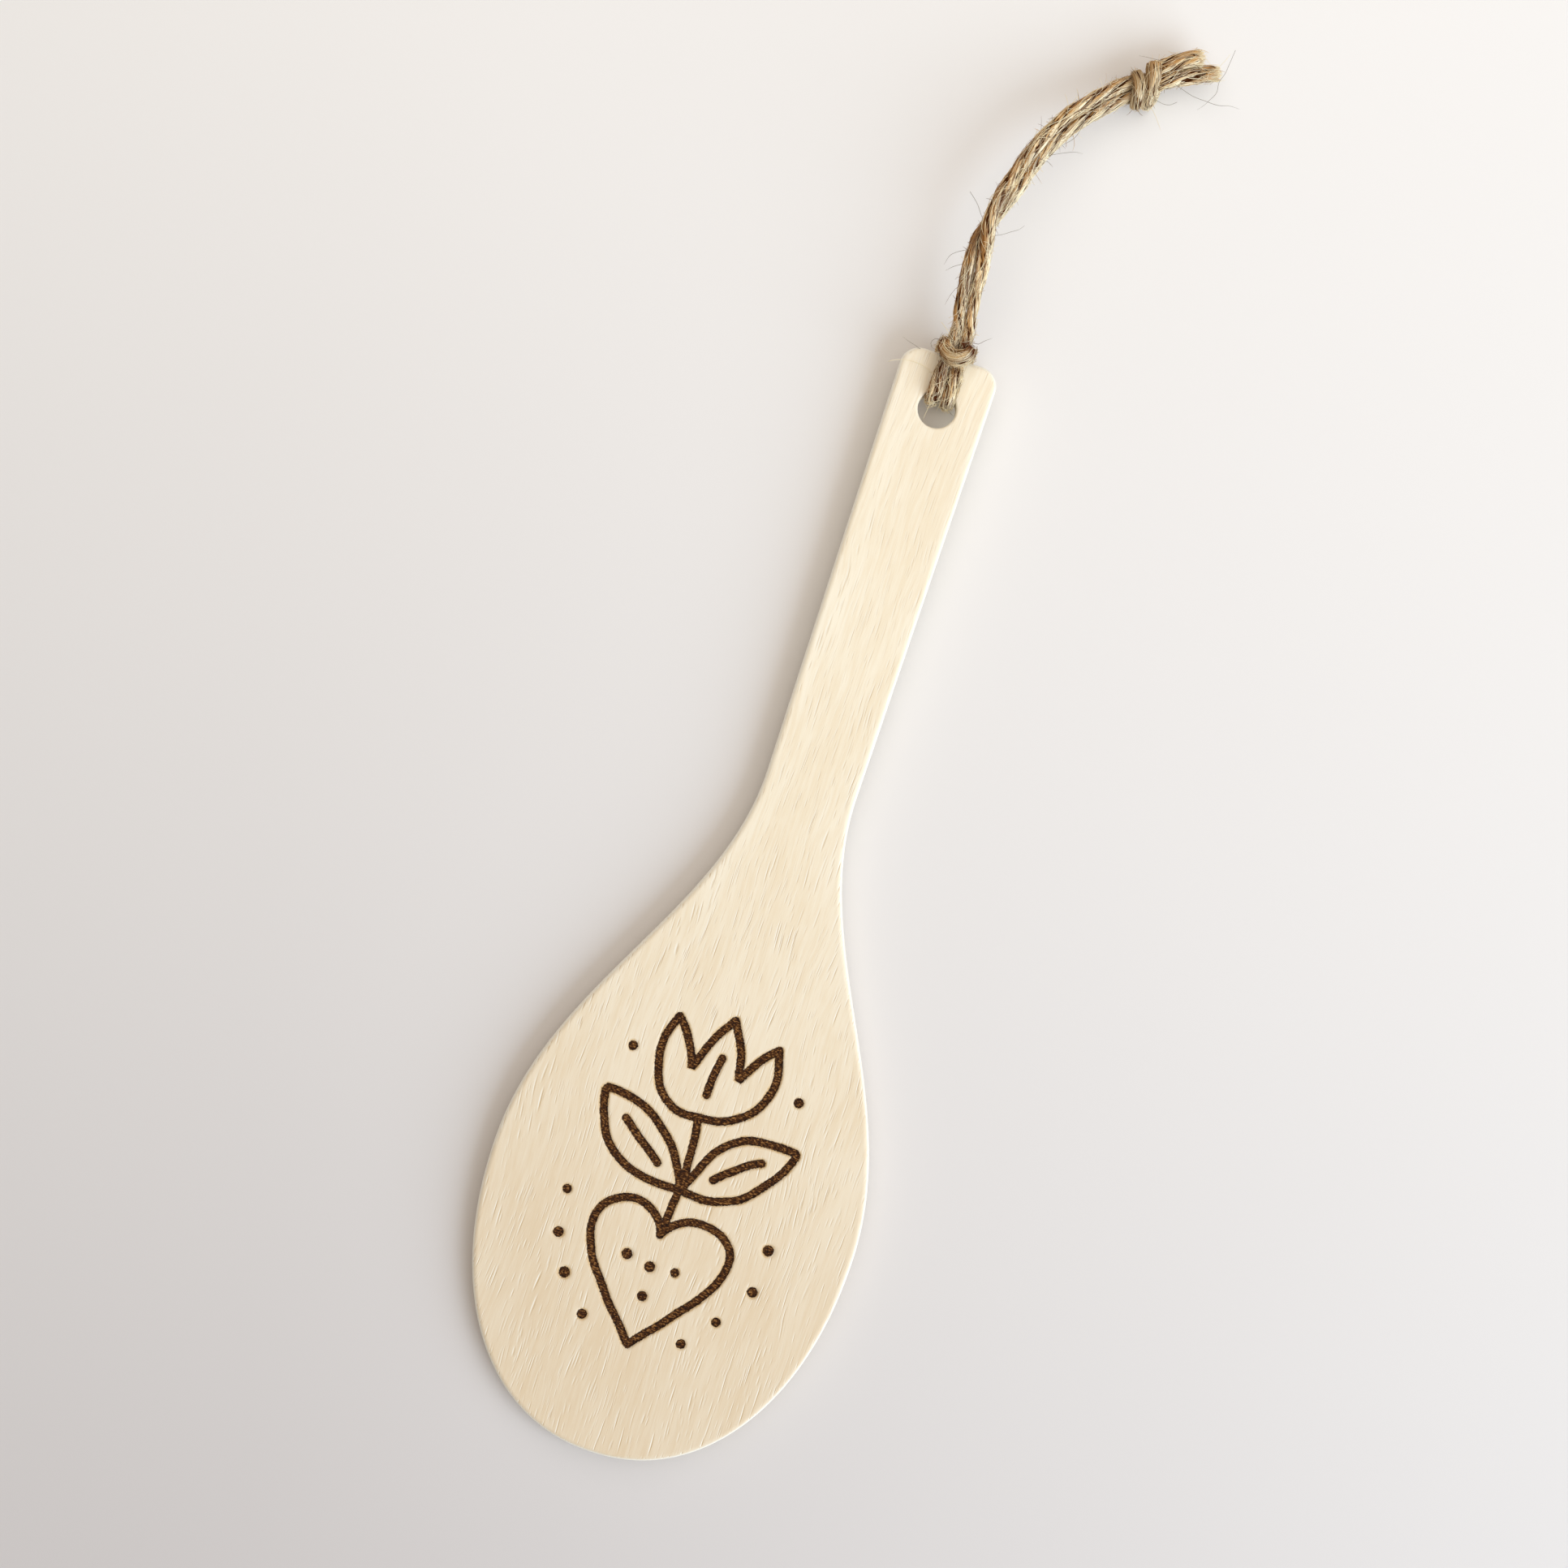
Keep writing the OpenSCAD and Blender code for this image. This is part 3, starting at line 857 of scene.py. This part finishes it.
def stray_fibre(rng, lay, low, high):
    """One fibre that stands off the twine and bends down."""
    i = int(rng.integers(low, high))
    outward = spokes(rng.uniform(0, math.tau), lay.side[i], lay.up[i])
    long = rng.uniform(*STRAY_SHORT) if rng.random() < STRAY_SHORT_SHARE else rng.uniform(*STRAY_LONG)
    steps = max(6, int(long / STRAY_STEP))
    lean = rng.uniform(-STRAY_LEAN, STRAY_LEAN)
    direction = unit(outward + heading(lay.middle, i) * lean + rng.normal(size=3) * STRAY_SPREAD)
    bend = rng.normal(size=3) * STRAY_CURL
    bend[2] -= STRAY_SAG
    p = [lay.middle[i] + outward * (lay.radius[i] * STRAY_ROOT_SHARE - STRAY_ROOT)]
    for _ in range(steps):
        p.append(p[-1] + direction * long / steps)
        direction = unit(direction + (bend + rng.normal(size=3) * STRAY_SHAKE) * long / steps)
        p[-1][2] = max(p[-1][2], STRAY_Z)
    return np.array(p)


def frayed_fibre(rng, lay, end):
    """One fibre that runs a little past a cut end and splays; end is the ring of the cut."""
    inward = 1 if end == 0 else -1
    cut, radius = lay.middle[end], lay.radius[end]
    out = unit(cut - lay.middle[end + inward * 4])
    across = spokes(rng.uniform(0, math.tau), lay.side[end], lay.up[end])
    reach = radius * FRAY_R_SHARE * math.sqrt(rng.uniform(*FRAY_REACH))
    back = int(rng.uniform(*FRAY_BACK))
    # The end is round: fibres near the twine's middle run furthest
    middle = 1 - (reach / radius) ** 2 * FRAY_ROUND
    past = rng.uniform(*FRAY_PAST) * middle + rng.exponential(FRAY_LONG)
    splay = rng.normal(0, FRAY_SPLAY)
    p = [lay.middle[end + inward * k] + across * reach * (0.97 + 0.03 * k / back) for k in range(back, 0, -2)]
    p += [cut + across * (reach + splay * past * t * t) + out * past * t for t in np.linspace(0.2, 1, 4)]
    return np.array(p)


def hair_tube(line, radius):
    """A thin tapering tube: its points."""
    side, up = carried(line)
    a = math.tau * np.arange(HAIR_SIDES) / HAIR_SIDES
    taper = radius * np.minimum(1, 0.35 + 2.2 * np.linspace(1, 0, len(line)))
    ring = spokes(a, side[:, None], up[:, None])
    points = (line[:, None] + taper[:, None, None] * ring).reshape(-1, 3)
    points[:, 2] = np.maximum(points[:, 2], TABLE_Z)
    return points


def build_fibres(name, fibres):
    """Many thin fibres, given as (line, radius, shade), as one piece."""
    points, faces, shades, start = [], [], [], 0
    for fibre, radius, shade in fibres:
        points.append(hair_tube(fibre, radius))
        faces += tube_faces(len(fibre), HAIR_SIDES, start)
        shades.append(np.full(len(points[-1]), shade))
        start += len(points[-1])
    points = np.concatenate(points)
    piece = new_mesh(name, points, faces)
    set_attribute(piece, "shade", np.concatenate(shades))
    set_tints(piece, points)
    return piece


def build_fuzz(name, lay, low, high, crossing, seed):
    """The fibres on a stretch of the twine, with its kind of crossing ones; the first has the long ones."""
    rng = np.random.default_rng(seed)
    long = (high - low) * RING_STEP

    def drawn(make, per_mm, radii, shades):
        made = (make(rng, lay, low, high) for _ in range(int(long * per_mm)))
        return [(fibre, rng.uniform(*radii), rng.uniform(*shades)) for fibre in made if fibre is not None]

    fibres = drawn(laid_fibre, *LAID) + drawn(crossing_fibre, *crossing) + drawn(stray_fibre, *STRAY)
    for end in {0, len(lay.middle) - 1} & {low, high}:
        count, radii, shades = FRAYED
        frayed = [frayed_fibre(rng, lay, end) for _ in range(count)]
        fibres += [(fibre, rng.uniform(*radii), rng.uniform(*shades)) for fibre in frayed]
    if low == 0:
        for z, shade, trace in SEEN_HAIRS:
            route = smooth([(x, END_Y + y, z) for x, y in trace], ROUTE_STEPS)
            fibres.append((resampled(route, SEEN_STEP), SEEN_R, shade))
    return build_fibres(name, fibres)


# Materials


class Nodes:
    """A short way to write a material's nodes."""

    def __init__(self, name):
        self.material = bpy.data.materials.new(name)
        self.material.use_nodes = True
        self.tree = self.material.node_tree
        self.shader = self.tree.nodes["Principled BSDF"]

    def outputs(self, kind, inputs=(), **settings):
        """The outputs of a new node, with its settings made and its inputs linked or set."""
        made = self.tree.nodes.new("ShaderNode" + kind)
        for key, value in settings.items():
            setattr(made, key, value)
        for key, value in dict(inputs).items():
            self.put(made.inputs[key], value)
        return made.outputs

    def put(self, socket, value):
        """Links a socket to another, or sets its value."""
        if isinstance(value, bpy.types.NodeSocket):
            self.tree.links.new(value, socket)
        else:
            socket.default_value = value

    def give(self, name, value):
        """Links the shader's own socket, or sets its value."""
        self.put(self.shader.inputs[name], value)

    def math(self, operation, a, b, clamp=False):
        return self.outputs("Math", {0: a, 1: b}, operation=operation, use_clamp=clamp)[0]

    def times(self, a, b):
        return self.math("MULTIPLY", a, b)

    def plus(self, a, b, clamp=False):
        return self.math("ADD", a, b, clamp)

    def minus(self, a, b, clamp=False):
        return self.math("SUBTRACT", a, b, clamp)

    def vector_math(self, operation, a, b):
        return self.outputs("VectorMath", {0: a, 1: b}, operation=operation)

    def noise(self, vector, rates, detail, roughness=0.5):
        """Noise with so many waves to the unit along x, y and z."""
        place = self.vector_math("MULTIPLY", vector, rates)[0]
        inputs = {"Vector": place, "Scale": 1, "Detail": detail, "Roughness": roughness}
        return self.outputs("TexNoise", inputs)["Fac"]

    def between(self, value, low, high):
        """0 below low and 1 above high, with a smooth step between; low may be the greater."""
        inputs = {"Value": value, "From Min": low, "From Max": high}
        return self.outputs("MapRange", inputs, interpolation_type="SMOOTHSTEP")["Result"]

    def mix(self, share, a, b, kind="MIX"):
        inputs = {"Factor": share, "A": a, "B": b}
        return self.outputs("Mix", inputs, data_type="RGBA", blend_type=kind)["Result"]

    def layers(self, base, *tints):
        """The base under tints that are each a colour, its share and the most that it covers, if not all."""
        for colour, share, *most in tints:
            base = self.mix(self.times(share, most[0]) if most else share, base, colour)
        return base

    def attribute(self, name, output="Fac"):
        """What the mesh says at each point, as a number or a vector."""
        return self.outputs("Attribute", attribute_name=name)[output]

    def bump(self, height, strength, distance, **normal):
        """A bump whose height is worth a distance in metres."""
        inputs = {"Height": height, "Strength": strength, "Distance": distance, **normal}
        return self.outputs("Bump", inputs)["Normal"]


def srgb(red, green, blue):
    """A colour written as 0 to 255, in Blender's linear values."""
    values = [c / 255 for c in (red, green, blue)]
    return [c / 12.92 if c <= 0.04045 else ((c + 0.055) / 1.055) ** 2.4 for c in values] + [1]


WOOD_PALE = srgb(253, 244, 222)
WOOD_WARM = srgb(246, 232, 204)
# Painted highlight colour, for the pores' lit walls and the eased edge
WOOD_LIT = srgb(255, 253, 242)
# Painted shade, multiplied over the wood towards the bowl
WOOD_BOWL_SHADE = srgb(236, 228, 220)
WOOD_PORE = srgb(188, 154, 100)
BURN_DARK = srgb(30, 12, 1)
BURN_BROWN = srgb(78, 42, 10)
BURN_SPECK = srgb(172, 124, 68)
SCORCH = srgb(208, 170, 108)

# Open pores: cells to the millimetre across and along the grain, a pore's half width in cells, the
# share of the cells that have one and how strongly it shows
PORES = [
    (3.2, 0.13, 0.27, 1.0, 0.9),
    (2.3, 0.09, 0.21, 0.95, 1.0),
    (4.0, 0.3, 0.3, 0.9, 0.7),
]
# A pore's painted highlight, on its lit wall, lies this far beside its dark dash
PORE_WALL = 0.12
# The grain sways sideways by this much
GRAIN_SWAY = 5
# Places along the spoon between which painted shade darkens the wood towards the bowl, and between which its
# pores open
BOWL_SHADE_SPAN = (-35, -150)
OPENS = (-10, -90)
# Heights between which the painted highlight on the eased edge starts at the top and fades away below
RIM_STARTS = (2.98, 2.7)
RIM_FADES = (1.9, 2.6)


def pores(n, where, across, along, size, share):
    """Short dashes along the grain: 1 in a dash and 0 elsewhere."""
    place = n.vector_math("MULTIPLY", where, (across, along, across))[0]
    cells = n.outputs("TexVoronoi", {"Vector": place, "Scale": 1})
    chosen, shade, _ = n.outputs("SeparateColor", {0: cells["Color"]})
    some = n.math("LESS_THAN", chosen, share)
    faint = n.plus(n.times(shade, 0.7), 0.3)
    shape = n.between(cells["Distance"], size, size * 0.35)
    return n.times(n.times(shape, faint), some)


def all_pores(n, where):
    """The pores of every size together."""
    made = 0.0
    for *kind, strength in PORES:
        made = n.math("MAXIMUM", made, n.times(pores(n, where, *kind), strength))
    return made


def bare_wood(n, flat, where, streaks):
    """The unburnt wood's colour and its pores, with painted shade towards the bowl and painted highlights on
    the pores' walls and the eased edge.
    """
    _, along, height = n.outputs("SeparateXYZ", {0: flat})
    tone = n.plus(n.times(n.noise(where, (0.2, 0.05, 0.2), 3), 0.4), n.times(streaks, 0.6))
    flecks = n.noise(where, (0.9, 0.35, 0.9), 3)
    base = n.mix(n.between(tone, 0.36, 0.64), WOOD_PALE, WOOD_WARM)
    base = n.layers(base, (WOOD_PALE, n.between(flecks, 0.5, 0.75), 0.3))
    # Painted shade: the wood darkens towards the bowl
    base = n.mix(n.between(along, *BOWL_SHADE_SPAN), base, WOOD_BOWL_SHADE, "MULTIPLY")
    open_share = n.plus(n.times(n.between(along, *OPENS), 0.5), 0.5)
    # The pores' dark dashes: their own darker colour, and painted shade on the wall turned from the light
    dashes = n.times(all_pores(n, where), n.times(open_share, 0.75))
    # Painted highlights on the pores' lit walls
    lit_pore_walls = n.times(all_pores(n, n.vector_math("ADD", where, (PORE_WALL, 0, 0))[0]), open_share)
    # Painted highlight along the eased edge
    rim_highlight = n.times(n.between(height, *RIM_STARTS), n.between(height, *RIM_FADES))
    return n.layers(base, (WOOD_LIT, lit_pore_walls), (WOOD_PORE, dashes), (WOOD_LIT, rim_highlight, 0.8)), dashes


def burnt_wood(n, base, where):
    """The wood's colour with the burnt lines and their brown haze on it, and where it is burnt."""
    ragged = n.times(n.minus(n.noise(where, (5, 3, 5), 3), 0.5), 0.3)
    edge = n.plus(n.attribute("burn_edge"), ragged)
    burnt = n.between(edge, 0.05, -0.06)
    speckle = n.noise(where, (2.6, 5.2, 2.6), 4, 0.65)
    char = n.layers(
        BURN_DARK,
        (BURN_BROWN, n.between(speckle, 0.38, 0.54)),
        (BURN_SPECK, n.between(speckle, 0.52, 0.66), 0.85),
        (BURN_DARK, n.between(edge, -0.3, -0.08), 0.6),
    )
    smoke = n.noise(where, (1.1, 0.3, 1.1), 3)
    haze = n.times(n.between(edge, 0.36, 0), n.between(smoke, 0.2, 0.7))
    return n.layers(base, (SCORCH, haze, 0.85), (char, burnt)), burnt


def wood_material():
    """Pale close-grained wood with fine pores, and the burnt lines where the mesh says how near they are."""
    n = Nodes("wood")
    flat = n.attribute("on_spoon", "Vector")
    sway = n.times(n.noise(flat, (0.1, 0.03, 0.1), 2), GRAIN_SWAY)
    where = n.vector_math("ADD", flat, n.outputs("CombineXYZ", {0: sway})[0])[0]
    streaks = n.noise(where, (2.2, 0.14, 2.2), 4, 0.65)
    base, dashes = bare_wood(n, flat, where, streaks)
    base, burnt = burnt_wood(n, base, where)
    n.give("Base Color", base)
    n.give("Roughness", n.plus(n.plus(n.times(streaks, 0.2), n.times(burnt, 0.3)), 0.5))
    n.give("Specular IOR Level", 0.25)
    grain = n.bump(n.minus(streaks, dashes), 0.35, 0.00006)
    rough = n.noise(where, (4, 4, 4), 4, 0.7)
    n.give("Normal", n.bump(n.times(rough, burnt), 0.8, 0.00012, Normal=grain))
    return n.material


# Painted shade: the dark brown of the twine's gaps and of the hollows between its plies
JUTE_HOLLOW_SHADE = srgb(74, 36, 6)
JUTE_RUST = srgb(96, 44, 14)
# A duller grey-brown, partly the twine's own colour and partly painted shade on the knot
JUTE_DULL_SHADE = srgb(186, 156, 112)
JUTE_BROWN = srgb(162, 108, 52)
JUTE_DEEP = srgb(116, 64, 20)
JUTE_TAN = srgb(222, 179, 120)
JUTE_PALE = srgb(255, 238, 196)
# A painted highlight: the twine's colour on the side that faces the window
JUTE_PAINTED_LIGHT = srgb(255, 247, 217)
JUTE_HAIR = srgb(158, 150, 140)

# The side towards the window: the twine gets painted light where it faces this way
PAINTED_LIGHT_SIDE = (0.93, -0.34, 0.12)


def painted_light_facing(n):
    """How far the surface faces the window's side, where light is painted on, from -1 to 1."""
    normal = n.outputs("TexCoord")["Normal"]
    return n.vector_math("DOT_PRODUCT", normal, PAINTED_LIGHT_SIDE)["Value"]


def jute_material():
    """Plied jute: fibres along the twine, pale on the crests, with painted shade in dark brown in its gaps
    and hollows and painted light on the side that faces the window.
    """
    n = Nodes("jute")
    where = n.attribute("fibre", "Vector")
    fibres = n.noise(where, (5.5, 5.5, 0.28), 3, 0.6)
    bundles = n.noise(where, (1.8, 1.8, 0.16), 2)
    shade_gaps = n.noise(where, (1.7, 1.7, 0.55), 2)
    tone = n.plus(n.times(fibres, 0.6), n.times(bundles, 0.4))
    facing = painted_light_facing(n)
    colour = n.layers(
        JUTE_BROWN,
        (JUTE_TAN, n.between(tone, 0.38, 0.5)),
        (JUTE_PALE, n.between(tone, 0.5, 0.6)),
        # Painted light on the side that faces the window, and painted shade in brown on the side turned from
        # it
        (JUTE_PAINTED_LIGHT, n.between(facing, 0.15, 0.75), 0.9),
        (JUTE_BROWN, n.between(facing, 0.1, -0.8), 0.65),
        # A duller grey-brown on the knot and the hitch's bar, partly its own colour and partly painted shade
        (JUTE_DULL_SHADE, n.attribute("dull_shade"), 0.75),
        # Painted shade in the gaps between fibres and in the hollows between the plies
        (JUTE_HOLLOW_SHADE, n.between(shade_gaps, 0.45, 0.37)),
        (JUTE_HOLLOW_SHADE, n.between(n.attribute("depth"), 0.88, 0.74)),
        (JUTE_RUST, n.attribute("rust"), 0.95),
    )
    n.give("Base Color", colour)
    n.give("Roughness", 0.75)
    n.give("Specular IOR Level", 0.05)
    n.give("Sheen Weight", 0.05)
    n.give("Sheen Roughness", 0.5)
    n.give("Sheen Tint", JUTE_PALE)
    n.give("Normal", n.bump(fibres, 0.6, 0.0001))
    return n.material


def fibre_material():
    """Single jute fibres, from grey brown to cream, with painted light where they face the window."""
    n = Nodes("jute_fibre")
    shade = n.attribute("shade")
    colour = n.layers(
        JUTE_HAIR,
        (JUTE_DEEP, n.between(shade, -0.3, -0.05)),
        (JUTE_BROWN, n.between(shade, 0.1, 0.3)),
        (JUTE_TAN, n.between(shade, 0.3, 0.6)),
        (JUTE_PALE, n.between(shade, 0.5, 0.8)),
        # Painted light on the fibres that face the window
        (JUTE_PAINTED_LIGHT, n.times(n.between(painted_light_facing(n), -0.1, 0.75), n.between(shade, -0.1, 0.3)), 0.8),
        # The duller grey-brown, partly painted shade
        (JUTE_DULL_SHADE, n.attribute("dull_shade"), 0.6),
        (JUTE_RUST, n.times(n.attribute("rust"), n.between(shade, 0.9, 0.3))),
    )
    n.give("Base Color", colour)
    n.give("Roughness", 0.6)
    n.give("Specular IOR Level", 0.1)
    return n.material


# The table's pale colour, with painted shade where its light falls off towards the lower left. The shade
# deepens below a line, over a reach in metres, and to the left by a share that grows with each metre.
TABLE_PALE = srgb(244, 243, 241)
TABLE_SHADED = srgb(203, 198, 197)
FADE_TOP = 0.115
FADE_REACH = 0.26
FADE_MIDDLE_SHARE = 0.82
FADE_PER_METRE = 2.6


def floor_material():
    """A matt white table with painted shade that deepens towards the lower left."""
    n = Nodes("table")
    place = n.outputs("TexCoord")["Object"]
    x, y, _ = n.outputs("SeparateXYZ", {0: place})
    c, s = math.cos(SPOON_TURN), math.sin(SPOON_TURN)
    right = n.plus(n.times(x, c), n.times(y, s))
    up = n.minus(n.times(y, c), n.times(x, s))
    down = n.math("DIVIDE", n.minus(FADE_TOP, up), FADE_REACH, True)
    left = n.minus(FADE_MIDDLE_SHARE, n.times(right, FADE_PER_METRE), True)
    mottle = n.times(n.minus(n.noise(place, (9, 9, 9), 2), 0.5), 0.06)
    # Painted shade, darker towards the lower left
    painted_fade = n.plus(n.times(down, left), mottle, True)
    n.give("Base Color", n.mix(painted_fade, TABLE_PALE, TABLE_SHADED))
    n.give("Roughness", 0.75)
    n.give("Specular IOR Level", 0.2)
    return n.material


# The camera

SENSOR_W = 36


def build_camera():
    """The photograph's view."""
    data = bpy.data.cameras.new("camera")
    data.sensor_width = SENSOR_W
    data.lens = SENSOR_W * VIEW_H / VIEW_W
    camera = added("camera", data)
    place = np.array(VIEW_AT) + [0, 0, VIEW_H]
    turn = Matrix.Rotation(SPOON_TURN, 4, "Z")
    camera.matrix_world = Matrix.Translation(Vector(place * MM)) @ turn
    bpy.context.scene.camera = camera


# The light: a cool window low on the right and a smaller, warmer one beyond the loop. Each square lamp
# faces the object and has a direction on the table, an elevation in degrees, a distance and a size in
# metres, a power in watts and a colour.
LAMPS = {
    "window": ((0.936, -0.342), 34, 0.8, 0.72, 5.4, (0.94, 1.06, 1.2)),
    "second_window": ((-0.087, 0.996), 63, 0.45, 0.65, 1.3, (1.01, 0.91, 0.84)),
}
# The warm light from all sides that fills the shadows
FILL = (1.0, 0.91, 0.78, 1)
FILL_STRENGTH = 0.3
FLOOR_HALF = 1500


def build_light():
    """Soft daylight."""
    for name, (direction, elevation, distance, size, power, colour) in LAMPS.items():
        data = bpy.data.lights.new(name, "AREA")
        data.shape = "SQUARE"
        data.size = size
        data.energy = power
        data.color = colour
        lamp = added(name, data)
        e = math.radians(elevation)
        away = Vector((direction[0] * math.cos(e), direction[1] * math.cos(e), math.sin(e)))
        lamp.location = away * distance
        lamp.rotation_mode = "QUATERNION"
        lamp.rotation_quaternion = away.to_track_quat("Z", "Y")
    world = bpy.data.worlds.new("world")
    world.use_nodes = True
    background = world.node_tree.nodes["Background"]
    background.inputs["Color"].default_value = FILL
    background.inputs["Strength"].default_value = FILL_STRENGTH
    bpy.context.scene.world = world
    bpy.context.scene.view_settings.view_transform = "Standard"


def build_floor():
    """The table under the object."""
    corners = [(x * FLOOR_HALF, y * FLOOR_HALF, 0) for x, y in ((-1, -1), (1, -1), (1, 1), (-1, 1))]
    floor = new_mesh("table_top", corners, [(0, 1, 2, 3)], False)
    floor.data.materials.append(floor_material())


build_camera()
build_light()
build_floor()

# The twine: one line, cut into the hitch and the loop's two strands where they leave the hitch
line, (right_cut, left_cut) = twine_line()
lay = lay_twine(line)
plies = [ply_rings(lay, k) for k in range(PLIES)]
stretches = {
    "twine_hitch_lay": (right_cut, left_cut, HITCH_CROSSING),
    "twine_loop_right": (0, right_cut, CROSSING),
    "twine_loop_left": (left_cut, len(line) - 1, CROSSING),
}
jute = jute_material()
fibre_look = fibre_material()
pieces = {}
fuzz = {}
for k, (name, (low, high, crossing)) in enumerate(stretches.items()):
    pieces[name] = build_twine(name, plies, low, high)
    fuzz[name] = build_fuzz(name + "_fuzz", lay, low, high, crossing, SEED * 10 + k)
    for piece, look in ((pieces[name], jute), (fuzz[name], fibre_look)):
        piece.data.materials.append(look)

# The twine's placing is baked into its meshes and the CAD's twine pieces are hidden; each loop strand's
# length along its middle is worked out and not used
for piece in [*pieces.values(), *fuzz.values()]:
    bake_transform(piece)
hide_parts("twine_hitch")
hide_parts("loop_strand_right", "tail_short", "end_knot")
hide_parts("loop_strand_left", "tail_long")
for name in ("twine_loop_right", "twine_loop_left"):
    low, high, _ = stretches[name]
    path = lay.middle[low : high + 1] * MM
    float(lengths(path)[-1])

# The wood
wood = build_wood()
wood.data.materials.append(wood_material())
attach(wood, "spoon")
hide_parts("spoon_blank")
